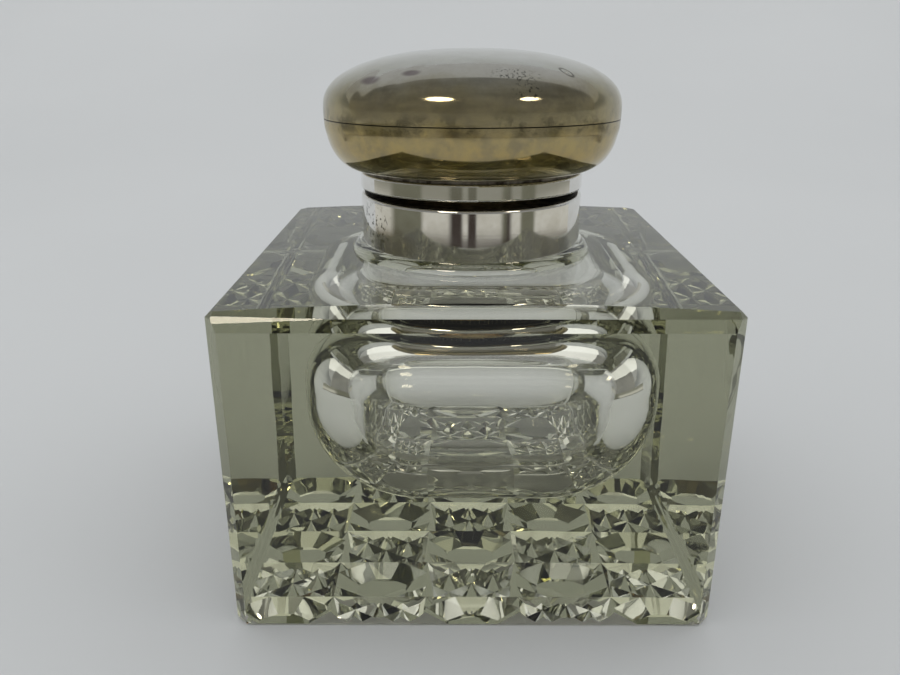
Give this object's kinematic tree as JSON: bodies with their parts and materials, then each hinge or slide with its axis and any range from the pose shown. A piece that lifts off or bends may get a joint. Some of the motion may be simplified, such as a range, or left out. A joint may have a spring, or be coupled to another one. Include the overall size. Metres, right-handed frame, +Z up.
{
  "type": "inkwell",
  "caption": "Square cut-glass inkwell with a metal collar and a hinged cushion-shaped lid over its round mouth.",
  "frame": {"origin": "centre of the base, on the surface it stands on", "axes": "+Z up along the neck, -Y the front face, the lid's hinge at the +Y side, +X to the right seen from the front"},
  "size_m": [0.095, 0.095, 0.1083],
  "materials": {
    "crystal": "polished",
    "cement": "matt plaster",
    "silver": "polished silver",
    "tarnished_silver": "polished silver with a warm tarnish",
    "gilt": "satin gilt"
  },
  "bodies": {
    "well": {"glass_block": "crystal", "neck_cement": "cement", "collar_band": "silver", "collar_mouth_ring": "silver", "collar_hinge_leaf": "silver", "collar_knuckle_left": "silver", "collar_knuckle_mid": "silver", "collar_knuckle_right": "silver", "hinge_pin": "silver"},
    "lid": {"lid_dome": "tarnished_silver", "lid_pan": "tarnished_silver", "lid_ring": "silver", "lid_bezel": "gilt", "lid_liner": "gilt", "lid_hinge_leaf": "silver", "lid_knuckle_left": "silver", "lid_knuckle_right": "silver"}
  },
  "joints": [
    {"name": "lid", "type": "hinge", "parent": "well", "child": "lid", "pos_m": [0, 0.0261, 0.0793], "axis": [-1, 0, 0], "range_deg": [-1.5, 103.5]}
  ]
}
